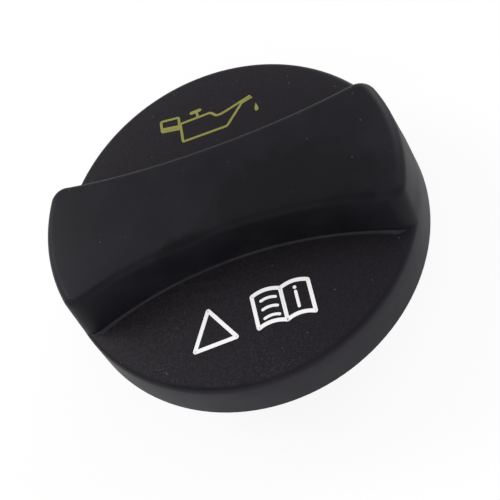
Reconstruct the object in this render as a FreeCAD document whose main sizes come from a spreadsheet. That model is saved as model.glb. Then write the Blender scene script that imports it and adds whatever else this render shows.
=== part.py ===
import FreeCAD
import Part
import Sketcher
import math
import os

# Engine oil filler cap: grip cover, bayonet plug and neck seal.
# Millimetres. Z = 0 is the plane where the filler neck's rim meets the seal,
# +Z runs up through the grip and +X along it.

doc = FreeCAD.newDocument("oil_filler_cap")
sheet = doc.addObject("Spreadsheet::Sheet", "sizes")

SIZES = [
    ("cap_radius", 33.0, "skirt's outer radius at its lower edge"),
    ("skirt_drop", 2.2, "skirt's lower edge below the neck's rim"),
    ("side_draft", 3.5, "draft of the side wall, degrees"),
    ("deck_edge_height", 6.0, "deck's height at its rim"),
    ("deck_crown", 1.4, "rise of the deck from rim to axis"),
    ("rim_radius", 1.2, "rounding of the deck's rim"),
    ("cover_wall", 2.2, "wall of skirt and decks"),
    ("grip_top_height", 16.5, "grip's height on the axis"),
    ("grip_end_height", 14.5, "grip's height at its ends"),
    ("grip_end_draft", 5.0, "draft of the grip's ends, degrees"),
    ("grip_end_setback", 0.05, "grip's ends inside the side wall at the rim"),
    ("grip_sink", 1.2, "grip's root below the deck's rim"),
    ("grip_blank_margin", 1.0, "grip's blank above its finished top"),
    ("grip_blank_overhang", 3.0, "grip's blank beyond the skirt"),
    ("trim_room", 20.0, "room above and beside the blank that the turning takes"),
    ("cut_margin", 0.5, "overlap that makes a cut or a join clean"),
    ("grip_root_waist", 18.3, "grip's width at the waist, at its root"),
    ("grip_root_sweep", 77.0, "radius of the grip's sides in plan, at its root"),
    ("grip_top_waist", 17.0, "grip's width at the waist, at the blank's top"),
    ("grip_top_sweep", 130.0, "radius of the grip's sides in plan, at the blank's top"),
    ("grip_corner_radius", 3.0, "rounding of the grip's upright corners"),
    ("grip_edge_radius", 1.4, "rounding of the grip's long top edges"),
    ("grip_end_radius", 2.0, "rounding of the grip's top end edges"),
    ("grip_wall", 2.2, "wall of the grip's sides and top"),
    ("grip_end_wall", 2.8, "wall of the grip's ends"),
    ("grip_rib_count", 5, "cross ribs in the grip"),
    ("grip_rib_pitch", 9.0, "distance between the grip's cross ribs"),
    ("grip_rib_thickness", 1.4, "thickness of the grip's cross ribs"),
    ("land_inner_radius", 23.6, "inner radius of the weld land"),
    ("land_outer_radius", 25.4, "outer radius of the weld land"),
    ("snap_rib_count", 12, "centring ribs with snap nibs"),
    ("snap_rib_thickness", 1.4, "thickness of a centring rib"),
    ("snap_nib_reach", 0.6, "snap nib's reach under the flange"),
    ("snap_nib_height", 1.0, "snap nib's height"),
    ("snap_nib_edge", 0.3, "snap nib's upright edge"),
    ("drive_key_count", 6, "drive keys in the flange's notches"),
    ("drive_key_width", 4.0, "width of a drive key"),
    ("notch_depth", 1.3, "depth of a key notch in the flange's rim"),
    ("plug_clearance", 0.15, "clearance between cover and plug"),
    ("flange_radius", 27.0, "plug's flange radius"),
    ("flange_thickness", 2.0, "plug's flange thickness"),
    ("seal_thickness", 1.8, "seal's height"),
    ("seal_gap", 0.1, "seal above the collar's shoulder"),
    ("seal_width", 3.7, "seal's radial width"),
    ("seal_edge_radius", 0.6, "rounding of the seal's lower edges"),
    ("seal_clearance", 0.1, "seal's bore around the root"),
    ("root_step", 0.6, "root under the collar's radius"),
    ("collar_radius", 21.8, "centring collar's radius"),
    ("collar_length", 5.2, "centring collar's length with its chamfer"),
    ("collar_chamfer", 0.8, "chamfer at the collar's lower edge"),
    ("drum_radius", 18.8, "drum's outer radius"),
    ("drum_wall", 2.2, "drum's wall"),
    ("drum_length", 15.0, "drum's lower edge below the neck's rim"),
    ("lug_radius", 21.4, "bayonet lug's outer radius"),
    ("lug_height", 2.6, "bayonet lug's height"),
    ("lug_angle", 48.0, "bayonet lug's length around the axis, degrees"),
    ("lug_rise", 1.6, "rise of a lug's ramp along its length"),
    ("lug_lift", 0.8, "lug's lowest point above the drum's lower edge"),
    ("lug_count", 3, "bayonet lugs"),
    ("stop_width", 2.4, "width of a lug's end stop"),
    ("gusset_count", 6, "gussets inside the drum"),
    ("gusset_thickness", 1.4, "thickness of a gusset"),
    ("gusset_reach", 4.0, "gusset's reach along the plate"),
    ("gusset_drop", 8.0, "gusset's drop along the drum"),
    ("gusset_edge", 1.0, "gusset's upright inner edge"),
]
for number, (alias, size, meaning) in enumerate(SIZES, start=1):
    sheet.set("A%d" % number, meaning)
    sheet.set("B%d" % number, str(size))
    sheet.setAlias("B%d" % number, alias)
doc.recompute()

# Two places closer than this are one and the same.
TOUCH = 0.01


def number_of(owner, expression):
    found = owner.evalExpression(expression)
    return float(getattr(found, "Value", found))


def arc_between(start, end, radius, left):
    chord = end - start
    half = chord.Length / 2.0
    side = FreeCAD.Vector(-chord.y, chord.x, 0).normalize()
    if not left:
        side = side * -1
    centre = (start + end) * 0.5 + side * math.sqrt(max(radius * radius - half * half, 0.0))
    first = math.atan2(start.y - centre.y, start.x - centre.x)
    last = math.atan2(end.y - centre.y, end.x - centre.x)
    circle = Part.Circle(centre, FreeCAD.Vector(0, 0, 1), radius)
    if left:
        return Part.ArcOfCircle(circle, first, last), (1, 2)
    return Part.ArcOfCircle(circle, last, first), (2, 1)


def outline(body, name, role, corners, arcs=None, height=None):
    # A closed outline through its corners, each a pair of expressions. An arc is given by the number
    # of the side, its radius and whether its centre lies left of the way along that side.
    arcs = arcs or {}
    sketch = body.newObject("Sketcher::SketchObject", name)
    plane = [one for one in body.Origin.OriginFeatures if one.Role == role][0]
    sketch.AttachmentSupport = [(plane, "")]
    sketch.MapMode = "FlatFace"
    if height:
        sketch.setExpression("AttachmentOffset.Base.z", height)
    spots = [FreeCAD.Vector(number_of(sketch, x), number_of(sketch, y), 0) for x, y in corners]
    count = len(spots)
    ends = []
    for side in range(count):
        start = spots[side]
        end = spots[(side + 1) % count]
        if side in arcs:
            arc, order = arc_between(start, end, number_of(sketch, arcs[side][0]), arcs[side][1])
            sketch.addGeometry(arc)
            ends.append(order)
        else:
            sketch.addGeometry(Part.LineSegment(start, end))
            ends.append((1, 2))
    for side in range(count):
        after = (side + 1) % count
        meeting = Sketcher.Constraint("Coincident", side, ends[side][1], after, ends[after][0])
        sketch.addConstraint(meeting)
    for side, (x, y) in enumerate(corners):
        for axis, expression, size in (("DistanceX", x, spots[side].x), ("DistanceY", y, spots[side].y)):
            if expression == "0":
                line = -2 if axis == "DistanceX" else -1
                sketch.addConstraint(Sketcher.Constraint("PointOnObject", side, ends[side][0], line))
                continue
            rule = sketch.addConstraint(Sketcher.Constraint(axis, -1, 1, side, ends[side][0], size))
            sketch.setExpression("Constraints[%d]" % rule, expression)
    for side, (radius, left) in arcs.items():
        rule = sketch.addConstraint(Sketcher.Constraint("Radius", side, number_of(sketch, radius)))
        sketch.setExpression("Constraints[%d]" % rule, radius)
    return sketch


def turned(body, kind, name, sketch):
    feature = body.newObject("PartDesign::" + kind, name)
    feature.Profile = sketch
    feature.ReferenceAxis = (sketch, ["V_Axis"])
    feature.Angle = 360.0
    sketch.Visibility = False
    return feature


def lofted(body, name, lower, upper):
    feature = body.newObject("PartDesign::AdditiveLoft", name)
    feature.Profile = lower
    feature.Sections = [upper]
    feature.Ruled = True
    return feature


def padded(body, kind, name, sketch, length):
    feature = body.newObject("PartDesign::" + kind, name)
    feature.Profile = sketch
    feature.Midplane = True
    feature.setExpression("Length", length)
    return feature


def around(body, name, original, count):
    feature = body.newObject("PartDesign::PolarPattern", name)
    feature.Originals = [original]
    axis = [one for one in body.Origin.OriginFeatures if one.Role == "Z_Axis"][0]
    feature.Axis = (axis, [""])
    feature.Angle = 360.0
    feature.setExpression("Occurrences", count)
    body.Tip = feature
    return feature


def half_step(body, count):
    # Half a step of a ring about Z. A first angle gives the turn its axis, and the sheet then drives it.
    body.Placement.Rotation = FreeCAD.Rotation(FreeCAD.Vector(0, 0, 1), 1)
    body.setExpression("Placement.Rotation.Angle", "180deg / " + count)


def arc_radius(reach, rise):
    return "((%s) ^ 2 + (%s) ^ 2) / (2 * (%s))" % (reach, rise, rise)


# Heights and radii shared by the pieces, as expressions on the sheet.
slope = "tan(sizes.side_draft * 1deg)"
skirt_foot = "-sizes.skirt_drop"
deck_edge = "sizes.deck_edge_height"
deck_middle = "sizes.deck_edge_height + sizes.deck_crown"
deck_heart = "sizes.deck_edge_height - sizes.cover_wall / 2"
skirt_heart = "sizes.cap_radius - sizes.cover_wall / 2"


def side_radius(level):
    return "sizes.cap_radius - (%s + sizes.skirt_drop) * %s" % (level, slope)


flange_under = "sizes.seal_gap + sizes.seal_thickness"
flange_top = "sizes.seal_gap + sizes.seal_thickness + sizes.flange_thickness"
root_radius = "sizes.collar_radius - sizes.root_step"
root_plane = "sizes.deck_edge_height - sizes.grip_sink"
blank_plane = "sizes.grip_top_height + sizes.grip_blank_margin"

# Lid: the domed deck and the drafted skirt, turned as one shell, with the weld land under the deck.
# Its rim arc touches the side wall and the deck.
lid = doc.addObject("PartDesign::Body", "lid")
under_edge = "sizes.deck_edge_height - sizes.cover_wall"
under_middle = "sizes.deck_edge_height + sizes.deck_crown - sizes.cover_wall"
inner_side = side_radius("(%s)" % under_edge) + " - sizes.cover_wall"
deck_sphere = arc_radius(side_radius(deck_edge), "sizes.deck_crown")
under_sphere = arc_radius(inner_side, "sizes.deck_crown")
lid_sketch = outline(
    lid,
    "lid_section",
    "XZ_Plane",
    [
        ("0", under_middle),
        ("0", deck_middle),
        (side_radius(deck_edge), deck_edge),
        ("sizes.cap_radius", skirt_foot),
        ("sizes.cap_radius - sizes.cover_wall", skirt_foot),
        (inner_side, under_edge),
    ],
    {1: (deck_sphere, False), 5: (under_sphere, True)},
)
turned(lid, "Revolution", "lid_shell", lid_sketch)
doc.recompute()


def edges_where(shape, test):
    found = []
    for index, edge in enumerate(shape.Edges, start=1):
        middle = edge.valueAt((edge.FirstParameter + edge.LastParameter) / 2.0)
        if test(edge, middle):
            found.append("Edge%d" % index)
    return found


def on_rim(edge, spot):
    level = number_of(lid, deck_edge)
    reach = number_of(lid, side_radius(deck_edge))
    return math.dist((math.hypot(spot.x, spot.y), spot.z), (reach, level)) < TOUCH


lid_rim = lid.newObject("PartDesign::Fillet", "lid_rim")
lid_shell = lid.getObject("lid_shell")
lid_rim.Base = (lid_shell, edges_where(lid_shell.Shape, on_rim))
lid_rim.setExpression("Radius", "sizes.rim_radius")
doc.recompute()

land_sketch = outline(
    lid,
    "land_section",
    "XZ_Plane",
    [
        ("sizes.land_inner_radius", flange_top),
        ("sizes.land_outer_radius", flange_top),
        ("sizes.land_outer_radius", deck_heart),
        ("sizes.land_inner_radius", deck_heart),
    ],
)
turned(lid, "Revolution", "weld_land", land_sketch)
doc.recompute()


def waisted(body, name, waist, sweep, reach, height):
    # A grip's plan: two straight ends beyond the cap and two long sides that bow in to the waist.
    flare = "(%s + %s - sqrt(%s ^ 2 - (%s) ^ 2))" % (waist, sweep, sweep, reach)
    return outline(
        body,
        name,
        "XY_Plane",
        [
            (reach, "-" + flare),
            (reach, flare),
            ("-(%s)" % reach, flare),
            ("-(%s)" % reach, "-" + flare),
        ],
        {1: (sweep, False), 3: (sweep, False)},
        height,
    )


def end_radius(level, wall):
    foot = side_radius(deck_edge) + " - sizes.grip_end_setback"
    lean = "(%s - sizes.deck_edge_height) * tan(sizes.grip_end_draft * 1deg)" % level
    return "%s - %s - (%s)" % (foot, lean, wall)


def trimmed(body, name, wall, top, end, low):
    # Turned away: all that lies above the crown or outside the drafted ends.
    high = "sizes.grip_top_height + sizes.trim_room"
    wide = "sizes.cap_radius + sizes.trim_room"
    crown = arc_radius(end_radius(end, wall), "%s - (%s)" % (top, end))
    section = outline(
        body,
        name + "_section",
        "YZ_Plane",
        [
            ("0", top),
            (end_radius(end, wall), end),
            (end_radius(low, wall), low),
            (wide, low),
            (wide, high),
            ("0", high),
        ],
        {0: (crown, False)},
    )
    return turned(body, "Groove", name, section)


# Grip: a loft between two waisted plans, its crown and ends turned with the cap.
grip = doc.addObject("PartDesign::Body", "grip")
blank_reach = "sizes.cap_radius + sizes.grip_blank_overhang"
grip_root = waisted(
    grip, "grip_root", "(sizes.grip_root_waist / 2)", "sizes.grip_root_sweep", blank_reach, root_plane
)
grip_top = waisted(
    grip, "grip_top", "(sizes.grip_top_waist / 2)", "sizes.grip_top_sweep", blank_reach, blank_plane
)
lofted(grip, "grip_blank", grip_root, grip_top)
doc.recompute()
grip_trim = trimmed(
    grip,
    "grip_trim",
    "0",
    "sizes.grip_top_height",
    "sizes.grip_end_height",
    root_plane + " - sizes.cut_margin",
)
doc.recompute()
half_height = number_of(grip, "(sizes.grip_end_height - sizes.deck_edge_height) / 2")
half_reach = number_of(grip, "sizes.cap_radius / 2")


def on_upright_corner(edge, spot):
    rise = abs(edge.Vertexes[0].Point.z - edge.Vertexes[-1].Point.z)
    return rise > half_height and abs(spot.x) > half_reach


grip_corners = grip.newObject("PartDesign::Fillet", "grip_corners")
grip_corners.Base = (grip_trim, edges_where(grip_trim.Shape, on_upright_corner))
grip_corners.setExpression("Radius", "sizes.grip_corner_radius")
doc.recompute()

# The crown's edge is blended in one run: tight along the sides, widening round the corners to the
# soft ends. The crown's seam, which starts on the axis, isn't part of it.
crown = max(grip.Shape.Faces, key=lambda face: face.CenterOfMass.z)
edge_round = number_of(grip, "sizes.grip_edge_radius")
end_round = number_of(grip, "sizes.grip_end_radius")
end_reach = number_of(grip, end_radius("sizes.grip_end_height", "sizes.grip_corner_radius"))
loop = []
for index, edge in enumerate(grip.Shape.Edges, start=1):
    spots = [edge.valueAt(edge.FirstParameter), edge.valueAt(edge.LastParameter)]
    on_crown = any(edge.isSame(side) for side in crown.Edges)
    from_axis = min(math.hypot(spot.x, spot.y) for spot in spots) < TOUCH
    if on_crown and not from_axis:
        blends = [end_round if abs(spot.x) > end_reach else edge_round for spot in spots]
        loop.append((index, blends[0], blends[1]))
grip_rounded = doc.addObject("Part::Fillet", "grip_rounded")
grip_rounded.Base = grip
grip_rounded.Edges = loop
doc.recompute()

cover_skin = doc.addObject("Part::Fuse", "cover_skin")
cover_skin.Base = lid
cover_skin.Tool = grip_rounded
cover_skin.Refine = True
doc.recompute()

# Core of the hollow grip, slotted where the cross ribs stay.
core = doc.addObject("PartDesign::Body", "core")
core_plane = "sizes.deck_edge_height - sizes.cover_wall - sizes.cut_margin"
core_root = waisted(
    core,
    "core_root",
    "(sizes.grip_root_waist / 2 - sizes.grip_wall)",
    "sizes.grip_root_sweep",
    blank_reach,
    core_plane,
)
core_top = waisted(
    core,
    "core_top",
    "(sizes.grip_top_waist / 2 - sizes.grip_wall)",
    "sizes.grip_top_sweep",
    blank_reach,
    blank_plane,
)
lofted(core, "core_blank", core_root, core_top)
doc.recompute()
trimmed(
    core,
    "core_trim",
    "sizes.grip_end_wall",
    "(sizes.grip_top_height - sizes.grip_wall)",
    "(sizes.grip_end_height - sizes.grip_wall)",
    core_plane + " - sizes.cut_margin",
)
first_rib = "(1 - sizes.grip_rib_count) / 2 * sizes.grip_rib_pitch"
rib_left = first_rib + " - sizes.grip_rib_thickness / 2"
rib_right = first_rib + " + sizes.grip_rib_thickness / 2"
slot_foot = core_plane + " + sizes.cut_margin"
slot_sketch = outline(
    core,
    "slot_section",
    "XZ_Plane",
    [
        (rib_left, slot_foot),
        (rib_right, slot_foot),
        (rib_right, blank_plane),
        (rib_left, blank_plane),
    ],
)
slot = padded(core, "Pocket", "rib_slot", slot_sketch, "sizes.cap_radius * 2")
doc.recompute()
slots = core.newObject("PartDesign::LinearPattern", "rib_slots")
slots.Originals = [slot]
slots.Direction = ([one for one in core.Origin.OriginFeatures if one.Role == "X_Axis"][0], [""])
slots.setExpression("Length", "(sizes.grip_rib_count - 1) * sizes.grip_rib_pitch")
slots.setExpression("Occurrences", "sizes.grip_rib_count")
core.Tip = slots
doc.recompute()

cover_shell = doc.addObject("Part::Cut", "cover_shell")
cover_shell.Base = cover_skin
cover_shell.Tool = core
doc.recompute()

# Centring ribs inside the skirt, each with a snap nib under the plug's flange.
rib_inner = "sizes.flange_radius + sizes.plug_clearance"
nib_upper = flange_under + " - sizes.plug_clearance"
nib_foot = nib_upper + " - sizes.snap_nib_height"
nib_inner = "sizes.flange_radius - sizes.snap_nib_reach"
snap_ribs = doc.addObject("PartDesign::Body", "snap_ribs")
rib_sketch = outline(
    snap_ribs,
    "snap_rib_section",
    "XZ_Plane",
    [
        (rib_inner, deck_heart),
        (rib_inner, nib_upper),
        (nib_inner, nib_upper),
        (nib_inner, nib_upper + " - sizes.snap_nib_edge"),
        (rib_inner, nib_foot),
        (skirt_heart, nib_foot),
        (skirt_heart, deck_heart),
    ],
)
rib = padded(snap_ribs, "Pad", "snap_rib", rib_sketch, "sizes.snap_rib_thickness")
doc.recompute()
around(snap_ribs, "snap_rib_ring", rib, "sizes.snap_rib_count")
half_step(snap_ribs, "sizes.snap_rib_count")
doc.recompute()

# Drive keys that turn the plug by the notches in its flange.
key_inner = "sizes.flange_radius - sizes.notch_depth + sizes.plug_clearance"
drive_keys = doc.addObject("PartDesign::Body", "drive_keys")
key_sketch = outline(
    drive_keys,
    "drive_key_section",
    "XZ_Plane",
    [
        (key_inner, deck_heart),
        (key_inner, flange_under),
        (skirt_heart, flange_under),
        (skirt_heart, deck_heart),
    ],
)
key = padded(drive_keys, "Pad", "drive_key", key_sketch, "sizes.drive_key_width")
doc.recompute()
around(drive_keys, "drive_key_ring", key, "sizes.drive_key_count")
half_step(drive_keys, "sizes.drive_key_count")
doc.recompute()

grip_cover = doc.addObject("Part::MultiFuse", "grip_cover")
grip_cover.Shapes = [cover_shell, snap_ribs, drive_keys]
grip_cover.Refine = True
grip_cover.Label = "grip_cover"
doc.recompute()

# Bayonet plug: plate and flange, seal root, centring collar and hollow drum, turned as one.
plug = doc.addObject("PartDesign::Body", "bayonet_plug")
plug.Label = "bayonet_plug"
drum_inner = "sizes.drum_radius - sizes.drum_wall"
plug_sketch = outline(
    plug,
    "plug_section",
    "XZ_Plane",
    [
        ("0", flange_top),
        ("sizes.flange_radius", flange_top),
        ("sizes.flange_radius", flange_under),
        (root_radius, flange_under),
        (root_radius, "0"),
        ("sizes.collar_radius", "0"),
        ("sizes.collar_radius", "sizes.collar_chamfer - sizes.collar_length"),
        ("sizes.collar_radius - sizes.collar_chamfer", "-sizes.collar_length"),
        ("sizes.drum_radius", "-sizes.collar_length"),
        ("sizes.drum_radius", "-sizes.drum_length"),
        (drum_inner, "-sizes.drum_length"),
        (drum_inner, flange_under),
        ("0", flange_under),
    ],
)
turned(plug, "Revolution", "plug_turned", plug_sketch)
doc.recompute()

notch_inner = "sizes.flange_radius - sizes.notch_depth"
notch_outer = "sizes.flange_radius + sizes.cut_margin"
notch_width = "sizes.drive_key_width + 2 * sizes.plug_clearance"
notch_sketch = outline(
    plug,
    "notch_section",
    "XZ_Plane",
    [
        (notch_inner, flange_under + " - sizes.cut_margin"),
        (notch_outer, flange_under + " - sizes.cut_margin"),
        (notch_outer, flange_top + " + sizes.cut_margin"),
        (notch_inner, flange_top + " + sizes.cut_margin"),
    ],
)
notch = padded(plug, "Pocket", "notch", notch_sketch, notch_width)
doc.recompute()
around(plug, "notch_ring", notch, "sizes.drive_key_count")
doc.recompute()

# Each lug climbs a right-handed ramp to its end stop, so a clockwise turn draws the cap down.
lug_low = "-sizes.drum_length + sizes.lug_lift + sizes.lug_rise"
lug_inner = "sizes.drum_radius - sizes.drum_wall / 2"
lug_sketch = outline(
    plug,
    "lug_section",
    "XZ_Plane",
    [
        (lug_inner, lug_low),
        ("sizes.lug_radius", lug_low),
        ("sizes.lug_radius", lug_low + " + sizes.lug_height"),
        (lug_inner, lug_low + " + sizes.lug_height"),
    ],
)
lug = plug.newObject("PartDesign::AdditiveHelix", "lug")
lug.Profile = lug_sketch
lug.ReferenceAxis = (lug_sketch, ["V_Axis"])
lug.Mode = "height-turns-angle"
lug.Reversed = True
lug.setExpression("Height", "sizes.lug_rise")
lug.setExpression("Turns", "sizes.lug_angle / 360")
doc.recompute()
around(plug, "lug_ring", lug, "sizes.lug_count")
doc.recompute()

stop_sketch = outline(
    plug,
    "stop_section",
    "XZ_Plane",
    [
        (lug_inner, lug_low),
        ("sizes.lug_radius", lug_low),
        ("sizes.lug_radius", "-sizes.collar_length + sizes.cut_margin"),
        (lug_inner, "-sizes.collar_length + sizes.cut_margin"),
    ],
)
stop = padded(plug, "Pad", "stop", stop_sketch, "sizes.stop_width")
doc.recompute()
around(plug, "stop_ring", stop, "sizes.lug_count")
doc.recompute()

gusset_inner = drum_inner + " - sizes.gusset_reach"
gusset_outer = drum_inner + " + sizes.drum_wall / 2"
gusset_top = flange_under + " + sizes.cut_margin"
gusset_sketch = outline(
    plug,
    "gusset_section",
    "XZ_Plane",
    [
        (gusset_inner, gusset_top),
        (gusset_inner, flange_under + " - sizes.gusset_edge"),
        (drum_inner, flange_under + " - sizes.gusset_drop"),
        (gusset_outer, flange_under + " - sizes.gusset_drop"),
        (gusset_outer, gusset_top),
    ],
)
gusset = padded(plug, "Pad", "gusset", gusset_sketch, "sizes.gusset_thickness")
doc.recompute()
around(plug, "gusset_ring", gusset, "sizes.gusset_count")
half_step(plug, "sizes.drive_key_count")
doc.recompute()

# Neck seal: a flat rubber ring with rounded lower edges, held on the root by the collar's shoulder.
seal = doc.addObject("PartDesign::Body", "neck_seal")
seal.Label = "neck_seal"
seal_inner = root_radius + " + sizes.seal_clearance"
seal_outer = root_radius + " + sizes.seal_clearance + sizes.seal_width"
seal_sketch = outline(
    seal,
    "seal_section",
    "XZ_Plane",
    [
        (seal_inner, flange_under),
        (seal_outer, flange_under),
        (seal_outer, "sizes.seal_gap + sizes.seal_edge_radius"),
        (seal_outer + " - sizes.seal_edge_radius", "sizes.seal_gap"),
        (seal_inner + " + sizes.seal_edge_radius", "sizes.seal_gap"),
        (seal_inner, "sizes.seal_gap + sizes.seal_edge_radius"),
    ],
    {2: ("sizes.seal_edge_radius", False), 4: ("sizes.seal_edge_radius", False)},
)
turned(seal, "Revolution", "seal_turned", seal_sketch)
doc.recompute()

for item in doc.Objects:
    if "Invalid" in item.State or "Error" in item.State:
        raise RuntimeError("%s is in error" % item.Name)
    shape = getattr(item, "Shape", None)
    if shape is not None and (shape.isNull() or not shape.isValid()):
        raise RuntimeError("%s has no sound shape" % item.Name)

os.makedirs("parts", exist_ok=True)
for piece in (grip_cover, plug, seal):
    if len(piece.Shape.Solids) != 1:
        raise RuntimeError("%s is %d solids" % (piece.Label, len(piece.Shape.Solids)))
    piece.Shape.exportStep("parts/%s.step" % piece.Label)
    box = piece.Shape.optimalBoundingBox()
    print("%s: %.1f mm3, %d faces, X %.2f to %.2f, Y %.2f to %.2f, Z %.2f to %.2f" % (
        piece.Label, piece.Shape.Volume, len(piece.Shape.Faces),
        box.XMin, box.XMax, box.YMin, box.YMax, box.ZMin, box.ZMax,
    ))
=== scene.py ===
import bpy
import math
import numpy as np
from mathutils import Matrix, Vector


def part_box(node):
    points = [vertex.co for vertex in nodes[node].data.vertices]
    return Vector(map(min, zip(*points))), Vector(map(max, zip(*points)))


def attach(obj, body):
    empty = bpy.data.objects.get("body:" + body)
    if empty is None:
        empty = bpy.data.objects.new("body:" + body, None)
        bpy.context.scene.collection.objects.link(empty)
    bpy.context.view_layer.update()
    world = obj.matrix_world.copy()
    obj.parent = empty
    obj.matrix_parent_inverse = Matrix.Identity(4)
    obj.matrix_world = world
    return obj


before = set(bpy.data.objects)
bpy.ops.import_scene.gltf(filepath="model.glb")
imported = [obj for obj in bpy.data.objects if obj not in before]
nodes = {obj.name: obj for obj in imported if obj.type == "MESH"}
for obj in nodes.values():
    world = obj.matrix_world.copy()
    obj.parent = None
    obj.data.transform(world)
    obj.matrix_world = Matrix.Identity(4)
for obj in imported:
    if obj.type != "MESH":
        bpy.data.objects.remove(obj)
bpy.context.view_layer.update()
mm = 0.001
print("frame loaded:", sorted(nodes))

# the deck is a shallow dome whose rim rolls over into the drafted side wall; lengths in millimetres
deck = {
    "rimRadius": 32.5,
    "rimHeight": 6.0,
    "rise": 1.4,
    "roll": 1.2,
    "footRadius": 33.0,
    "footHeight": -2.2,
    "draft": math.radians(3.5),
    "rounds": 6,
}


def rimRoll():
    # middle of the roll's circle: one roll in from the dome and from the wall, found in a few rounds
    ball = (deck["rimRadius"] ** 2 + deck["rise"] ** 2) / (2.0 * deck["rise"])
    middle = deck["rimHeight"] + deck["rise"] - ball
    reach = deck["rimRadius"] - deck["roll"]
    for _ in range(deck["rounds"]):
        height = middle + math.sqrt((ball - deck["roll"]) ** 2 - reach**2)
        wall = deck["footRadius"] - (height - deck["footHeight"]) * math.tan(deck["draft"])
        reach = wall - deck["roll"] / math.cos(deck["draft"])
    return ball, middle, reach, height


def deckHeight(x, y):
    # height of the dome's sphere, and of the roll's circle outside the ring where they touch
    ball, middle, rollReach, rollHeight = rimRoll()
    reach = np.hypot(x, y)
    dome = middle + np.sqrt(ball**2 - reach**2)
    over = np.clip(reach - rollReach, 0.0, deck["roll"])
    roll = rollHeight + np.sqrt(deck["roll"] ** 2 - over**2)
    return np.where(reach < rollReach * ball / (ball - deck["roll"]), dome, roll)


# shader helpers


def addNode(tree, kind, **values):
    node = tree.nodes.new(kind)
    for name, value in values.items():
        setattr(node, name, value)
    return node


def feed(tree, value, socket):
    # a plain number goes on the socket itself, anything else is linked to it
    if isinstance(value, (int, float)):
        socket.default_value = value
    else:
        tree.links.new(value, socket)


def mathNode(tree, operation, first, second=None):
    node = addNode(tree, "ShaderNodeMath", operation=operation)
    feed(tree, first, node.inputs[0])
    if second is not None:
        feed(tree, second, node.inputs[1])
    return node.outputs[0]


def rampNode(tree, value, low, high, start=0.0, end=1.0):
    # a smooth step from start to end while the value goes from low to high
    node = addNode(tree, "ShaderNodeMapRange", interpolation_type="SMOOTHSTEP")
    tree.links.new(value, node.inputs["Value"])
    for name, number in (("From Min", low), ("From Max", high), ("To Min", start), ("To Max", end)):
        node.inputs[name].default_value = number
    return node.outputs["Result"]


def spanNode(tree, mask, span):
    # a mask from nought to one, turned into a span of values
    return rampNode(tree, mask, 0.0, 1.0, *span)


def noiseNode(tree, vector, scale, detail, roughness):
    node = addNode(tree, "ShaderNodeTexNoise")
    tree.links.new(vector, node.inputs["Vector"])
    tree.links.new(scale, node.inputs["Scale"])
    node.inputs["Detail"].default_value = detail
    node.inputs["Roughness"].default_value = roughness
    return node.outputs["Fac"]


def colourMix(tree, mask, first, second):
    node = addNode(tree, "ShaderNodeMix", data_type="RGBA")
    tree.links.new(mask, node.inputs["Factor"])
    for place, colour in ((6, first), (7, second)):  # the colour sockets come after the others
        if isinstance(colour, tuple):
            node.inputs[place].default_value = (*colour, 1.0)
        else:
            tree.links.new(colour, node.inputs[place])
    return node.outputs[2]


def newGroup(name, inputs, outputs):
    tree = bpy.data.node_groups.new(name, "ShaderNodeTree")
    tree.interface.new_socket("Position", in_out="INPUT", socket_type="NodeSocketVector")
    for label in inputs:
        tree.interface.new_socket(label, in_out="INPUT", socket_type="NodeSocketFloat")
    for label in outputs:
        tree.interface.new_socket(label, in_out="OUTPUT", socket_type="NodeSocketFloat")
    return tree, addNode(tree, "NodeGroupInput"), addNode(tree, "NodeGroupOutput")


def placeGroup(tree, group, vector, **values):
    node = addNode(tree, "ShaderNodeGroup", node_tree=group)
    tree.links.new(vector, node.inputs["Position"])
    for name, value in values.items():
        node.inputs[name].default_value = value
    return node


# effects that several materials share; a noise is its detail and roughness, a pitch is cells in a metre

grainEffect = {
    "fineNoise": (3.0, 0.6),
    "fineShare": 0.65,
    "coarseNoise": (2.0, 0.5),
    "coarsePitchShare": 0.45,
    "coarseShare": 0.35,
    "glintNoise": (1.0, 0.5),
    "glintPitchShare": 0.8,
    "glintRange": (0.55, 0.75),
}


def makeGrain():
    # spark-eroded mould grain: two layers of fine noise, and the peaks of a third, painted as glints on
    # the deck and as thinner ink in the signs
    tree, start, end = newGroup("mouldGrain", ["Pitch"], ["Height", "Sparkle"])
    position = start.outputs["Position"]
    pitch = start.outputs["Pitch"]
    coarsePitch = mathNode(tree, "MULTIPLY", pitch, grainEffect["coarsePitchShare"])
    glintPitch = mathNode(tree, "MULTIPLY", pitch, grainEffect["glintPitchShare"])
    fine = noiseNode(tree, position, pitch, *grainEffect["fineNoise"])
    coarse = noiseNode(tree, position, coarsePitch, *grainEffect["coarseNoise"])
    glint = noiseNode(tree, position, glintPitch, *grainEffect["glintNoise"])
    fine = mathNode(tree, "MULTIPLY", fine, grainEffect["fineShare"])
    coarse = mathNode(tree, "MULTIPLY", coarse, grainEffect["coarseShare"])
    tree.links.new(mathNode(tree, "ADD", fine, coarse), end.inputs["Height"])
    tree.links.new(rampNode(tree, glint, *grainEffect["glintRange"]), end.inputs["Sparkle"])
    return tree


dustEffect = {"core": (0.04, 0.1)}


def makeDust():
    # a few settled specks: the small cores of scattered cells
    tree, start, end = newGroup("dustSpecks", ["Pitch", "Share"], ["Mask"])
    cells = addNode(tree, "ShaderNodeTexVoronoi", feature="F1")
    tree.links.new(start.outputs["Position"], cells.inputs["Vector"])
    tree.links.new(start.outputs["Pitch"], cells.inputs["Scale"])
    core = rampNode(tree, cells.outputs["Distance"], *dustEffect["core"], 1.0, 0.0)
    channels = addNode(tree, "ShaderNodeSeparateColor")
    tree.links.new(cells.outputs["Color"], channels.inputs["Color"])
    chosen = mathNode(tree, "LESS_THAN", channels.outputs[0], start.outputs["Share"])
    tree.links.new(mathNode(tree, "MULTIPLY", core, chosen), end.inputs["Mask"])
    return tree


smudgeEffect = {"noise": (4.0, 0.55), "range": (0.35, 0.7)}


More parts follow.
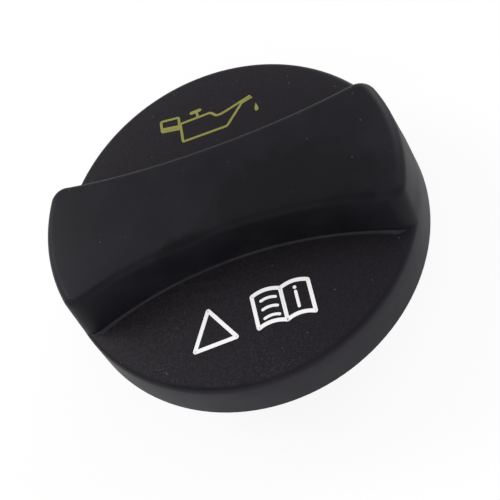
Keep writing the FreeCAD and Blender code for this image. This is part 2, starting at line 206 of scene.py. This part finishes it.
def makeSmudge():
    # soft broad patches, as handling leaves them
    tree, start, end = newGroup("handlingMarks", ["Pitch"], ["Mask"])
    broad = noiseNode(tree, start.outputs["Position"], start.outputs["Pitch"], *smudgeEffect["noise"])
    tree.links.new(rampNode(tree, broad, *smudgeEffect["range"]), end.inputs["Mask"])
    return tree


grainGroup = makeGrain()
dustGroup = makeDust()
smudgeGroup = makeSmudge()


# materials


def newMaterial(name):
    material = bpy.data.materials.new(name)
    material.use_nodes = True
    tree = material.node_tree
    return material, tree, tree.nodes["Principled BSDF"]


def objectPosition(tree):
    return addNode(tree, "ShaderNodeTexCoord").outputs["Object"]


def addBump(tree, shader, height, strength, distance):
    bump = addNode(tree, "ShaderNodeBump")
    bump.inputs["Distance"].default_value = distance
    feed(tree, strength, bump.inputs["Strength"])
    tree.links.new(height, bump.inputs["Height"])
    tree.links.new(bump.outputs["Normal"], shader.inputs["Normal"])


# ranges named Facing are of the upward part of the normal; a range of four ends with its two results
coverFinish = {
    "black": (0.006, 0.0056, 0.0076),
    "worn": (0.0092, 0.0087, 0.0112),
    # painted shade: the colours of the grip's darker top patch and of its darker front-edge spots
    "paintedTopShade": (0.0039, 0.0037, 0.0046),
    "paintedEdgeShade": (0.0026, 0.0025, 0.003),
    "skirtPale": (0.0158, 0.0144, 0.0182),
    "deckBlack": (0.0082, 0.0073, 0.0096),
    "deckFrost": (0.0185, 0.0162, 0.0192),
    # painted highlight: the colour of the glints painted on the deck's grain
    "glint": (0.06, 0.056, 0.062),
    "dust": (0.085, 0.08, 0.085),
    "gloss": 0.1,
    "sheen": (0.95, 0.91, 1.0),
    "deckDull": 0.5,
    "gripDull": 0.47,
    "wallDull": 0.5,
    "dullFacing": (0.15, 0.75),
    "dullSpread": (-0.02, 0.03),
    "smudgePitch": 110.0,
    "grainPitch": 4200.0,
    "grainDepth": 0.03 * mm,
    "grainBump": (0.18, 0.9),
    "grainReach": (31.3 * mm, 32.0 * mm),
    "grainFacing": (0.78, 0.95),
    "gripFoot": (8.4 * mm, 8.9 * mm),
    # painted light: the frost and the glints fade across the deck and towards its rear, as the light
    # falls
    "paintedLightAcross": (-20.0 * mm, 24.0 * mm, 1.0, 0.15),
    "paintedLightRear": (-5.0 * mm, 5.0 * mm, 1.0, 0.4),
    "frostGrain": (0.38, 0.62),
    "frostShare": (0.35, 1.0),
    "glintPitch": 60.0,
    "glintShare": (0.25, 0.7),
    "glintReach": (17.0 * mm, 29.0 * mm, 0.45, 1.25),
    "dustPitch": 650.0,
    "dustShare": 0.22,
    "dustFacing": (0.5, 0.9),
    # painted shade: where the grip's top and front edge are darkened
    "topShadeSpot": {"middle": (13.0 * mm, -5.0 * mm), "reach": (15.0 * mm, 8.0 * mm), "onWall": 0.65},
    "edgeShadeSpots": [
        {"middle": (-7.0 * mm, -9.2 * mm), "reach": (5.2 * mm, 2.6 * mm), "onWall": 0.0},
        {"middle": (20.5 * mm, -12.0 * mm), "reach": (5.4 * mm, 3.5 * mm), "onWall": 0.0},
    ],
    "shadeRagPitch": 240.0,
    "shadeRag": 0.7,
    "shadeEdge": (0.7, 1.5),
    "shadeFacing": (0.25, 0.5),
    "skirtReach": (31.9 * mm, 32.4 * mm),
    "skirtTop": (5.4 * mm, 6.2 * mm),
}
# the crease at the grip's foot is rubbed smooth and catches more light
creaseFinish = dict(coverFinish, gloss=0.21, gripDull=0.42, deckDull=0.42, wallDull=0.42)


def makeCoverMoulding(name, finish):
    material, tree, shader = newMaterial(name)
    position = objectPosition(tree)
    parts = addNode(tree, "ShaderNodeSeparateXYZ")
    tree.links.new(position, parts.inputs["Vector"])
    normal = addNode(tree, "ShaderNodeSeparateXYZ")
    tree.links.new(addNode(tree, "ShaderNodeNewGeometry").outputs["Normal"], normal.inputs["Vector"])
    facing = normal.outputs["Z"]
    squares = [mathNode(tree, "POWER", parts.outputs[axis], 2.0) for axis in "XY"]
    reach = mathNode(tree, "SQRT", mathNode(tree, "ADD", *squares))
    grain = placeGroup(tree, grainGroup, position, Pitch=finish["grainPitch"])
    smudge = placeGroup(tree, smudgeGroup, position, Pitch=finish["smudgePitch"])
    ragged = placeGroup(tree, smudgeGroup, position, Pitch=finish["shadeRagPitch"])
    patchy = placeGroup(tree, smudgeGroup, position, Pitch=finish["glintPitch"])
    dust = placeGroup(tree, dustGroup, position, Pitch=finish["dustPitch"], Share=finish["dustShare"])
    # the grained field of the decks: level, below the grip and inside a narrow smooth border
    field = rampNode(tree, facing, *finish["grainFacing"])
    low = rampNode(tree, parts.outputs["Z"], *finish["gripFoot"], 1.0, 0.0)
    inside = rampNode(tree, reach, *finish["grainReach"], 1.0, 0.0)
    for share in (low, inside):
        field = mathNode(tree, "MULTIPLY", field, share)
    plain = colourMix(tree, smudge.outputs["Mask"], finish["black"], finish["worn"])
    # painted shade: the grip is darker in a broad patch right of its middle, and at two spots of its
    # front edge:
    # ovals with ragged edges, fainter on the wall than where the surface looks up
    stray = mathNode(tree, "MULTIPLY", ragged.outputs["Mask"], finish["shadeRag"])
    shadeSpots = [(finish["topShadeSpot"], finish["paintedTopShade"])]
    shadeSpots += [(spot, finish["paintedEdgeShade"]) for spot in finish["edgeShadeSpots"]]
    for shadeSpot, colour in shadeSpots:
        oval = stray
        for axis, middle, half in zip("XY", shadeSpot["middle"], shadeSpot["reach"]):
            offset = mathNode(tree, "SUBTRACT", parts.outputs[axis], middle)
            offset = mathNode(tree, "DIVIDE", offset, half)
            oval = mathNode(tree, "ADD", oval, mathNode(tree, "POWER", offset, 2.0))
        mask = rampNode(tree, oval, *finish["shadeEdge"], 1.0, 0.0)
        lifted = rampNode(tree, facing, *finish["shadeFacing"], shadeSpot["onWall"], 1.0)
        plain = colourMix(tree, mathNode(tree, "MULTIPLY", mask, lifted), plain, colour)
    # the skirt is a little paler than the rest
    skirt = rampNode(tree, reach, *finish["skirtReach"])
    below = rampNode(tree, parts.outputs["Z"], *finish["skirtTop"], 1.0, 0.0)
    plain = colourMix(tree, mathNode(tree, "MULTIPLY", skirt, below), plain, finish["skirtPale"])
    # the grain's peaks are frosted paler, and the frost is painted light as well: strongest on the
    # front left of the deck, where the light falls, fading towards the right and the rear
    paintedLightFall = rampNode(tree, parts.outputs["X"], *finish["paintedLightAcross"])
    paintedLightFall = mathNode(tree, "MULTIPLY", paintedLightFall, rampNode(tree, parts.outputs["Y"], *finish["paintedLightRear"]))
    frost = rampNode(tree, grain.outputs["Height"], *finish["frostGrain"])
    frost = mathNode(tree, "MULTIPLY", frost, spanNode(tree, paintedLightFall, finish["frostShare"]))
    frosted = colourMix(tree, frost, finish["deckBlack"], finish["deckFrost"])
    colour = colourMix(tree, field, plain, frosted)
    # painted glints: pale specks of colour on the grain's peaks standing in for highlights, in patches,
    # most of all towards the rim
    glint = spanNode(tree, patchy.outputs["Mask"], finish["glintShare"])
    outer = rampNode(tree, reach, *finish["glintReach"])
    for share in (paintedLightFall, outer, field, grain.outputs["Sparkle"]):
        glint = mathNode(tree, "MULTIPLY", glint, share)
    colour = colourMix(tree, glint, colour, finish["glint"])
    # dust settles where the surface looks up
    level = rampNode(tree, facing, *finish["dustFacing"])
    settled = mathNode(tree, "MULTIPLY", dust.outputs["Mask"], level)
    tree.links.new(colourMix(tree, settled, colour, finish["dust"]), shader.inputs["Base Color"])
    dull = addNode(tree, "ShaderNodeMix")
    tree.links.new(rampNode(tree, facing, *finish["dullFacing"]), dull.inputs["Factor"])
    dull.inputs["A"].default_value = finish["wallDull"]
    tree.links.new(spanNode(tree, field, (finish["gripDull"], finish["deckDull"])), dull.inputs["B"])
    spread = spanNode(tree, smudge.outputs["Mask"], finish["dullSpread"])
    tree.links.new(mathNode(tree, "ADD", dull.outputs["Result"], spread), shader.inputs["Roughness"])
    shader.inputs["Specular IOR Level"].default_value = finish["gloss"]
    shader.inputs["Specular Tint"].default_value = (*finish["sheen"], 1.0)
    strength = spanNode(tree, field, finish["grainBump"])
    addBump(tree, shader, grain.outputs["Height"], strength, finish["grainDepth"])
    return material


plugFinish = {
    "dark": (0.02, 0.02, 0.0215),
    "pale": (0.032, 0.032, 0.0335),
    "markPitch": 140.0,
    "dull": (0.36, 0.5),
    "gloss": 0.35,
    "grainPitch": 3000.0,
    "grainBump": 0.2,
    "grainDepth": 0.02 * mm,
}
sealFinish = {
    "dark": (0.014, 0.0115, 0.0095),
    "pale": (0.04, 0.035, 0.031),
    "markPitch": 220.0,
    "dull": (0.55, 0.75),
    "gloss": 0.2,
    "grainPitch": 6000.0,
    "grainBump": 0.25,
    "grainDepth": 0.015 * mm,
}


def makeMottled(name, finish):
    # a dark moulding, paler and duller in patches: wear on the plug, bloom on the rubber
    material, tree, shader = newMaterial(name)
    position = objectPosition(tree)
    marks = placeGroup(tree, smudgeGroup, position, Pitch=finish["markPitch"]).outputs["Mask"]
    grain = placeGroup(tree, grainGroup, position, Pitch=finish["grainPitch"])
    tree.links.new(colourMix(tree, marks, finish["dark"], finish["pale"]), shader.inputs["Base Color"])
    tree.links.new(spanNode(tree, marks, finish["dull"]), shader.inputs["Roughness"])
    shader.inputs["Specular IOR Level"].default_value = finish["gloss"]
    addBump(tree, shader, grain.outputs["Height"], finish["grainBump"], finish["grainDepth"])
    return material


inkFinish = {
    "white": (0.95, 0.95, 0.95),
    "whiteThin": (0.8, 0.8, 0.8),
    "olive": (0.23, 0.225, 0.05),
    "oliveThin": (0.135, 0.13, 0.04),
    "thinShare": 0.35,
    "dull": (0.3, 0.7, 0.45, 0.6),
    "gloss": 0.3,
    "grainPitch": 4200.0,
    "grainBump": 0.3,
    "grainDepth": 0.01 * mm,
}


def makePrintInk(name, solid, thin):
    # pad-printed ink: nearly solid, a little thinner where the mould grain stands up
    material, tree, shader = newMaterial(name)
    grain = placeGroup(tree, grainGroup, objectPosition(tree), Pitch=inkFinish["grainPitch"])
    bare = mathNode(tree, "MULTIPLY", grain.outputs["Sparkle"], inkFinish["thinShare"])
    tree.links.new(colourMix(tree, bare, solid, thin), shader.inputs["Base Color"])
    dull = rampNode(tree, grain.outputs["Height"], *inkFinish["dull"])
    tree.links.new(dull, shader.inputs["Roughness"])
    shader.inputs["Specular IOR Level"].default_value = inkFinish["gloss"]
    addBump(tree, shader, grain.outputs["Height"], inkFinish["grainBump"], inkFinish["grainDepth"])
    return material


# the CAD nodes keep their shape and get a finish and smooth shading

shading = {"smoothBelow": math.radians(28.0), "weld": 0.001 * mm}


def smoothByAngle():
    # smooth shading on all faces, kept sharp at edges that turn by more than the limit
    tree = bpy.data.node_groups.new("smoothByAngle", "GeometryNodeTree")
    tree.interface.new_socket("Geometry", in_out="INPUT", socket_type="NodeSocketGeometry")
    tree.interface.new_socket("Geometry", in_out="OUTPUT", socket_type="NodeSocketGeometry")
    start = addNode(tree, "NodeGroupInput")
    end = addNode(tree, "NodeGroupOutput")
    faces = addNode(tree, "GeometryNodeSetShadeSmooth", domain="FACE")
    edges = addNode(tree, "GeometryNodeSetShadeSmooth", domain="EDGE")
    angle = addNode(tree, "GeometryNodeInputMeshEdgeAngle")
    sharp = addNode(tree, "FunctionNodeCompare", data_type="FLOAT", operation="GREATER_THAN")
    sharp.inputs[1].default_value = shading["smoothBelow"]
    edges.inputs["Shade Smooth"].default_value = False
    tree.links.new(start.outputs[0], faces.inputs["Geometry"])
    tree.links.new(faces.outputs["Geometry"], edges.inputs["Geometry"])
    tree.links.new(angle.outputs["Unsigned Angle"], sharp.inputs[0])
    tree.links.new(sharp.outputs["Result"], edges.inputs["Selection"])
    tree.links.new(edges.outputs["Geometry"], end.inputs[0])
    return tree


smoothGroup = smoothByAngle()


def dressNode(name, material):
    piece = nodes[name]
    piece.data.materials.clear()
    piece.data.materials.append(material)
    weld = piece.modifiers.new("merge", "WELD")  # the loose triangles are joined for display
    weld.merge_threshold = shading["weld"]
    smooth = piece.modifiers.new("smooth", "NODES")
    smooth.node_group = smoothGroup


dressNode("grip_cover", makeCoverMoulding("coverMoulding", coverFinish))
dressNode("bayonet_plug", makeMottled("plugMoulding", plugFinish))
dressNode("neck_seal", makeMottled("sealRubber", sealFinish))
print("CAD nodes dressed")


# surfaces of new pieces, worked out in millimetres of the frame


def meshFromGrid(points, closeAcross, closeAlong):
    # quads between neighbouring rows and columns of a grid of points, wrapped where a side is closed
    rows, columns = points.shape[:2]
    index = np.arange(rows * columns).reshape(rows, columns)
    if closeAlong:
        index = np.concatenate((index, index[:1]), 0)
    if closeAcross:
        index = np.concatenate((index, index[:, :1]), 1)
    corners = (index[:-1, :-1], index[:-1, 1:], index[1:, 1:], index[1:, :-1])
    return points.reshape(-1, 3), np.stack(corners, -1).reshape(-1, 4)


def newObject(name, points, quads, material):
    mesh = bpy.data.meshes.new(name)
    mesh.from_pydata(points.tolist(), [], quads.tolist())
    mesh.materials.append(material)
    mesh.validate()
    piece = bpy.data.objects.new(name, mesh)
    bpy.context.scene.collection.objects.link(piece)
    return piece


def joinSurfaces(name, surfaces, material):
    # one piece of several surfaces, in metres, that rides with the cap
    points = np.concatenate([part[0] for part in surfaces]) * mm
    starts = np.cumsum([0] + [len(part[0]) for part in surfaces[:-1]])
    quads = np.concatenate([part[1] + offset for part, offset in zip(surfaces, starts)])
    piece = newObject(name, points, quads, material)
    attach(piece, "root")
    return piece


def unit(vectors):
    return vectors / np.linalg.norm(vectors, axis=-1, keepdims=True)


def onDeck(flat, lift):
    # points of a plan, each lifted from the deck below it
    height = deckHeight(flat[..., 0], flat[..., 1]) + lift
    return np.concatenate((flat, height[..., None]), -1)


# the hollow rounding where the grip stands on the deck; the grip's side is ruled between two arcs,
# one at its root and one above its top
rootBlend = {
    "radius": 0.36,
    "cornerBlend": 0.6,
    "growFrom": 0.5,
    "growPower": 3,
    "tip": 0.06,
    "hold": 0.12,
    "blankReach": 36.0,
    "rootLevel": 4.8,
    "rootWaist": 9.15,
    "rootSweep": 77.0,
    "topLevel": 17.5,
    "topWaist": 8.5,
    "topSweep": 130.0,
    "cornerRadius": 3.0,
    "endReach": 32.43,
    "sideShare": 0.9,
    "sideSteps": 400,
    "sideKept": 6,
    "cornerSteps": 40,
    "hollowSteps": 9,
    "rounds": 8,
}


def sweptArc(turn, waist, sweep):
    # plan of a waisted side: an arc of the given sweep that bows in to the waist
    angle = turn * math.asin(rootBlend["blankReach"] / sweep)
    return np.stack((sweep * np.sin(angle), waist + sweep * (1.0 - np.cos(angle))), 1)


def sideFoot(turn):
    # where the ruled side meets the deck, found by a few rounds of place, height and share of the rule
    blend = rootBlend
    root = sweptArc(turn, blend["rootWaist"], blend["rootSweep"])
    top = sweptArc(turn, blend["topWaist"], blend["topSweep"])
    share = np.zeros_like(turn)
    for _ in range(blend["rounds"]):
        foot = root + (top - root) * share[:, None]
        height = deckHeight(foot[:, 0], foot[:, 1])
        share = (height - blend["rootLevel"]) / (blend["topLevel"] - blend["rootLevel"])
    return foot


def footPath():
    # from the waist to one end: along the side, then round the corner's arc until it leaves the deck
    blend = rootBlend
    side = sideFoot(np.linspace(0.0, blend["sideShare"], blend["sideSteps"]))
    along = unit(np.gradient(side, axis=0))
    out = np.stack((-along[:, 1], along[:, 0]), 1)
    # the corner starts where its arc, tangent to the side, also touches the grip's round end
    middles = side - out * blend["cornerRadius"]
    gap = np.linalg.norm(middles, axis=1) - (blend["endReach"] - blend["cornerRadius"])
    last = int(np.argmin(np.abs(gap)))
    middle = middles[last]
    first = math.atan2(out[last, 1], out[last, 0])
    final = math.atan2(middle[1], middle[0])
    bend = np.linspace(first, final, blend["cornerSteps"])[1:]
    outward = np.stack((np.cos(bend), np.sin(bend)), 1)
    arc = middle + outward * blend["cornerRadius"]
    kept = np.linalg.norm(arc, axis=1) < deck["rimRadius"] - deck["roll"]
    sideKept = slice(0, last + 1, blend["sideKept"])
    path = np.concatenate((side[sideKept], arc[kept]))
    outs = np.concatenate((out[sideKept], outward[kept]))
    return path, outs, len(side[sideKept])


def makeRootBlend(material):
    # a hollow quarter circle carried along the foot; it grows towards the grip's corners and fades out
    blend = rootBlend
    half, outs, corner = footPath()
    run = np.concatenate(([0.0], np.cumsum(np.linalg.norm(np.diff(half, axis=0), axis=1))))
    sideRun = run[corner - 1]
    grow = (run / sideRun - blend["growFrom"]) / (1.0 - blend["growFrom"])
    grow = np.clip(grow, 0.0, 1.0) ** blend["growPower"]
    fade = np.clip((run[-1] - run) / (run[-1] - sideRun), 0.0, 1.0)
    radius = (blend["radius"] + (blend["cornerBlend"] - blend["radius"]) * grow) * fade + blend["tip"]
    flip = np.array([-1.0, 1.0])
    foot = np.concatenate((half[:0:-1] * flip, half))
    out = np.concatenate((outs[:0:-1] * flip, outs))
    radius = np.concatenate((radius[:0:-1], radius))
    bend = np.linspace(0.0, math.pi / 2.0, blend["hollowSteps"])
    outward = np.concatenate((1.0 - np.sin(bend), [-blend["hold"]]))
    upward = np.concatenate((1.0 - np.cos(bend), [-blend["hold"]]))
    flat = foot[:, None] + out[:, None] * (radius[:, None] * outward)[..., None]
    near = onDeck(flat, radius[:, None] * upward)
    far = near * (-1.0, -1.0, 1.0)
    surfaces = [meshFromGrid(side, True, False) for side in (near, far)]
    return joinSurfaces("rootBlend", surfaces, material)


makeRootBlend(makeCoverMoulding("creaseMoulding", creaseFinish))
print("root blend laid")


# printed signs: raised ink on the decks

ink = {
    "proud": 0.05,
    "edge": 0.03,
    "sunk": 0.15,
    "shoulder": 0.9,
    "midRing": 0.5,
    "point": 0.02,
    "mitreLimit": 0.5,
    "bendShare": 0.45,
    "bendSteps": 6,
    "capSteps": 5,
    "bowSteps": 9,
}


def roundedPath(corners, closed, radius):
    # straight runs joined at each corner by a short parabola that starts and ends one radius from it
    corners = np.asarray(corners, float)
    before = np.roll(corners, 1, 0) - corners
    after = np.roll(corners, -1, 0) - corners
    roomBefore = np.linalg.norm(before, axis=1, keepdims=True) * ink["bendShare"]
    roomAfter = np.linalg.norm(after, axis=1, keepdims=True) * ink["bendShare"]
    start = corners + unit(before) * np.minimum(radius, roomBefore)
    end = corners + unit(after) * np.minimum(radius, roomAfter)
    t = np.linspace(0.0, 1.0, ink["bendSteps"])[None, :, None]
    bends = (1 - t) ** 2 * start[:, None] + 2 * t * (1 - t) * corners[:, None] + t**2 * end[:, None]
    if closed:
        return bends.reshape(-1, 2)
    return np.concatenate((corners[:1], bends[1:-1].reshape(-1, 2), corners[-1:]))


def bowed(start, end, rise):
    # a parabola over a straight line, highest at its middle
    t = np.linspace(0.0, 1.0, ink["bowSteps"])[:, None]
    line = np.asarray(start, float) * (1 - t) + np.asarray(end, float) * t
    return line + np.concatenate((np.zeros_like(t), 4.0 * rise * t * (1 - t)), 1)


def ring(steps):
    return np.linspace(0.0, 2.0 * math.pi, steps, endpoint=False)


def strokeSurface(path, closed, width):
    # a low flat-topped ridge carried along the path and mitred at its bends;
    # open ends are rounded by shrinking its width on a circle
    path = np.asarray(path, float)
    half = np.full(len(path), width / 2.0)
    if closed:
        ahead = np.roll(path, -1, 0) - path
        behind = path - np.roll(path, 1, 0)
    else:
        turn = np.linspace(0.0, math.pi / 2.0, ink["capSteps"])
        tip = width / 2.0
        head = path[0] + unit(path[0] - path[1]) * tip * np.cos(turn)[:, None]
        tail = path[-1] + unit(path[-1] - path[-2]) * tip * np.cos(turn[::-1])[:, None]
        path = np.concatenate((head, path[1:-1], tail))
        shrink = np.maximum(np.sin(turn), ink["point"]) * tip
        half = np.concatenate((shrink, half[1:-1], shrink[::-1]))
        ahead = np.diff(path, axis=0, append=path[-1:] * 2 - path[-2:-1])
        behind = np.diff(path, axis=0, prepend=path[:1] * 2 - path[1:2])
    ahead = unit(ahead)
    along = unit(ahead + unit(behind))
    mitre = half / np.maximum(np.sum(along * ahead, 1), ink["mitreLimit"])
    across = np.stack((-along[:, 1], along[:, 0]), 1)
    place = np.array([-1.0, -1.0, -ink["shoulder"], ink["shoulder"], 1.0, 1.0])
    lift = np.array([-ink["sunk"], ink["edge"], ink["proud"], ink["proud"], ink["edge"], -ink["sunk"]])
    flat = path[:, None] + across[:, None] * (mitre[:, None] * place)[..., None]
    return meshFromGrid(onDeck(flat, lift), False, closed)


def patchSurface(rim):
    # a filled spot: rings that grow from its middle to its rim, then a short wall down
    rim = np.asarray(rim, float)
    middle = rim.mean(0)
    share = np.array([ink["point"], ink["midRing"], ink["shoulder"], 1.0, 1.0])
    lift = np.array([ink["proud"], ink["proud"], ink["proud"], ink["edge"], -ink["sunk"]])
    flat = middle + (rim - middle)[None] * share[:, None, None]
    return meshFromGrid(onDeck(flat, lift[:, None]), True, False)


oilCan = {
    "stroke": 0.5,
    "handle": [(-9.35, 24.75), (-5.85, 24.25), (-6.05, 21.55), (-9.45, 22.25)],
    "body": [(-5.75, 22.6), (-5.85, 18.35), (2.75, 18.35), (6.35, 22.45)],
    "round": 0.3,
    "top": [(-5.75, 22.6), (0.25, 22.7), (1.25, 21.5), (2.45, 21.6), (7.95, 23.35)],
    "topRound": 0.4,
    "spout": [(6.25, 22.35), (8.25, 22.9)],
    "spoutShare": 0.8,
    "knob": [(-3.3, 24.15), (-1.7, 24.2)],
    "knobShare": 1.5,
    "stem": [(-2.35, 24.2), (-2.25, 22.85)],
    "grasp": [(-9.15, 22.8), (-6.25, 22.2)],
    "graspShare": 1.3,
    "dropTop": (8.8, 21.45),
    "dropFoot": (8.7, 19.45),
    "dropWidth": 0.75,
    "dropFullness": 0.75,
    "dropSteps": 24,
}


def makeOilCan(material):
    can = oilCan
    size = can["stroke"]
    surfaces = [
        strokeSurface(roundedPath(can["handle"], True, can["round"]), True, size),
        strokeSurface(roundedPath(can["body"], False, can["round"]), False, size),
        strokeSurface(roundedPath(can["top"], False, can["topRound"]), False, size),
        strokeSurface(can["spout"], False, size * can["spoutShare"]),
        strokeSurface(can["knob"], False, size * can["knobShare"]),
        strokeSurface(can["stem"], False, size),
        strokeSurface(can["grasp"], False, size * can["graspShare"]),
    ]
    # a drop: a circle whose width falls to a point at the top
    turn = ring(can["dropSteps"])
    top = np.asarray(can["dropTop"])
    foot = np.asarray(can["dropFoot"])
    run = (1.0 + np.cos(turn)) / 2.0
    side = np.sin(turn) * np.sin(turn / 2.0) ** 2 * can["dropFullness"] * can["dropWidth"]
    rim = foot + (top - foot) * run[:, None] + np.stack((side, np.zeros_like(side)), 1)
    surfaces.append(patchSurface(rim[::-1]))
    return joinSurfaces("oilCanSign", surfaces, material)


openBook = {
    "stroke": 0.68,
    "left": 0.25,
    "spine": 5.25,
    "right": 10.1,
    "top": -17.1,
    "foot": -23.0,
    "bow": 0.55,
    "round": 0.14,
    "lines": 3,
    "linesTop": -18.35,
    "lineStep": 1.62,
    "lineStart": 1.6,
    "lineEnd": 4.2,
    "lineBow": 0.25,
    "lineShare": 0.72,
    "letterX": 7.65,
    "letterTop": -18.6,
    "letterFoot": -21.3,
    "letterShare": 0.8,
    "dotTop": -17.8,
    "dotShare": 0.45,
    "dotSteps": 16,
}


def makeOpenBook(material):
    book = openBook
    size = book["stroke"]
    surfaces = []
    for low, high in ((book["left"], book["spine"]), (book["spine"], book["right"])):
        over = bowed((low, book["top"]), (high, book["top"]), book["bow"])
        under = bowed((low, book["foot"]), (high, book["foot"]), book["bow"])
        page = roundedPath(np.concatenate((over, under[::-1])), True, book["round"])
        surfaces.append(strokeSurface(page, True, size))
    for row in range(book["lines"]):
        level = book["linesTop"] - row * book["lineStep"]
        line = bowed((book["lineStart"], level), (book["lineEnd"], level), book["lineBow"])
        surfaces.append(strokeSurface(line, False, size * book["lineShare"]))
    letter = [(book["letterX"], book["letterTop"]), (book["letterX"], book["letterFoot"])]
    surfaces.append(strokeSurface(letter, False, size * book["letterShare"]))
    turn = ring(book["dotSteps"])
    dot = np.stack((np.cos(turn), np.sin(turn)), 1) * size * book["dotShare"]
    surfaces.append(patchSurface(dot + (book["letterX"], book["dotTop"])))
    return joinSurfaces("openBookSign", surfaces, material)


plainTriangle = {
    "stroke": 0.7,
    "corners": [(-7.5, -16.9), (-11.2, -23.4), (-3.6, -23.1)],
    "round": 0.2,
}


def makeTriangle(material):
    path = roundedPath(plainTriangle["corners"], True, plainTriangle["round"])
    surface = strokeSurface(path, True, plainTriangle["stroke"])
    return joinSurfaces("triangleMark", [surface], material)


whiteInk = makePrintInk("whiteInk", inkFinish["white"], inkFinish["whiteThin"])
oliveInk = makePrintInk("oliveInk", inkFinish["olive"], inkFinish["oliveThin"])
makeOilCan(oliveInk)
makeOpenBook(whiteInk)
makeTriangle(whiteInk)
print("signs printed")


# stage, light and camera, in metres


def seenRays(tree):
    # one where the camera, a reflection or a clear surface looks, nought where light only bounces
    path = addNode(tree, "ShaderNodeLightPath")
    seen = mathNode(tree, "MAXIMUM", path.outputs["Is Camera Ray"], path.outputs["Is Glossy Ray"])
    return mathNode(tree, "MAXIMUM", seen, path.outputs["Is Transmission Ray"])


stage = {
    "size": 3.0,
    "steps": 9,
    "colour": (0.95, 0.95, 0.95),
    "dull": 0.9,
    "gloss": 0.1,
    "shadowShare": 0.12,
}


def makeFloor():
    # a level sheet under the plug's foot
    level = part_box("bayonet_plug")[0].z
    reach = np.linspace(-stage["size"] / 2.0, stage["size"] / 2.0, stage["steps"])
    x, y = np.meshgrid(reach, reach)
    points, quads = meshFromGrid(np.stack((x, y, np.full_like(x, level)), -1), False, False)
    material, tree, shader = newMaterial("floorPaper")
    shader.inputs["Base Color"].default_value = (*stage["colour"], 1.0)
    shader.inputs["Roughness"].default_value = stage["dull"]
    shader.inputs["Specular IOR Level"].default_value = stage["gloss"]
    # the camera and reflections see it mostly white, with a faint shadow
    glow = addNode(tree, "ShaderNodeEmission")
    white = addNode(tree, "ShaderNodeMixShader")
    glowShare = mathNode(tree, "MULTIPLY", seenRays(tree), 1.0 - stage["shadowShare"])
    tree.links.new(glowShare, white.inputs[0])
    tree.links.new(shader.outputs[0], white.inputs[1])
    tree.links.new(glow.outputs[0], white.inputs[2])
    # from below the sheet is clear, so the underside can be seen through it
    clear = addNode(tree, "ShaderNodeBsdfTransparent")
    sided = addNode(tree, "ShaderNodeMixShader")
    tree.links.new(addNode(tree, "ShaderNodeNewGeometry").outputs["Backfacing"], sided.inputs[0])
    tree.links.new(white.outputs[0], sided.inputs[1])
    tree.links.new(clear.outputs[0], sided.inputs[2])
    tree.links.new(sided.outputs[0], tree.nodes["Material Output"].inputs["Surface"])
    floor = newObject("floor", points, quads, material)


makeFloor()

sky = {"light": 0.6, "seen": 1.0}


def makeSky():
    # an even white sky, dimmer as a light than where it is seen
    world = bpy.data.worlds.new("studio")
    world.use_nodes = True
    bpy.context.scene.world = world
    tree = world.node_tree
    background = tree.nodes["Background"]
    background.inputs["Color"].default_value = (1.0, 1.0, 1.0, 1.0)
    strength = spanNode(tree, seenRays(tree), (sky["light"], sky["seen"]))
    tree.links.new(strength, background.inputs["Strength"])


makeSky()

# the front lamp only fills: mirrored in the cap, it would draw a light line along the grip's edge
lamps = {
    "backLeft": {"at": (-0.64, 0.34, 0.5), "size": 0.4, "power": 3.4, "mirrored": True},
    "backRight": {"at": (0.52, 0.64, 0.22), "size": 0.5, "power": 4.2, "mirrored": True},
    "front": {"at": (0.1, -0.9, 0.4), "size": 1.2, "power": 4.4, "mirrored": False},
    "lowLeft": {"at": (-0.45, -0.65, 0.12), "size": 0.4, "power": 0.8, "mirrored": True},
}


def makeLamps():
    for name, values in lamps.items():
        data = bpy.data.lights.new(name, "AREA")
        data.size = values["size"]
        data.energy = values["power"]
        lamp = bpy.data.objects.new(name, data)
        lamp.visible_glossy = values["mirrored"]
        lamp.location = values["at"]
        lamp.rotation_euler = (-Vector(values["at"])).to_track_quat("-Z", "Y").to_euler()
        bpy.context.scene.collection.objects.link(lamp)


makeLamps()

shot = {
    "azimuth": 17.68,
    "elevation": 56.8,
    "roll": -33.74,
    "distance": 204.76 * mm,
    "aim": (1.54 * mm, -7.53 * mm, 5.81 * mm),
    "lens": 86.5,
    "sensor": 36.0,
    "clipStart": 0.01,
}


def makeCamera():
    # back points from the aim to the camera; roll turns the frame about it
    turn = math.radians(shot["azimuth"])
    lift = math.radians(shot["elevation"])
    roll = math.radians(shot["roll"])
    back = Vector((math.sin(turn) * math.cos(lift), -math.cos(turn) * math.cos(lift), math.sin(lift)))
    right = Vector((math.cos(turn), math.sin(turn), 0.0))
    up = back.cross(right)
    frameRight = right * math.cos(roll) + up * math.sin(roll)
    frameUp = up * math.cos(roll) - right * math.sin(roll)
    data = bpy.data.cameras.new("camera")
    data.lens = shot["lens"]
    data.sensor_width = shot["sensor"]
    data.clip_start = shot["clipStart"]
    camera = bpy.data.objects.new("camera", data)
    place = Matrix((frameRight, frameUp, back)).transposed().to_4x4()
    place.translation = Vector(shot["aim"]) + back * shot["distance"]
    camera.matrix_world = place
    bpy.context.scene.collection.objects.link(camera)
    bpy.context.scene.camera = camera


makeCamera()
bpy.context.scene.view_settings.view_transform = "Standard"
print("stage, light and camera set")
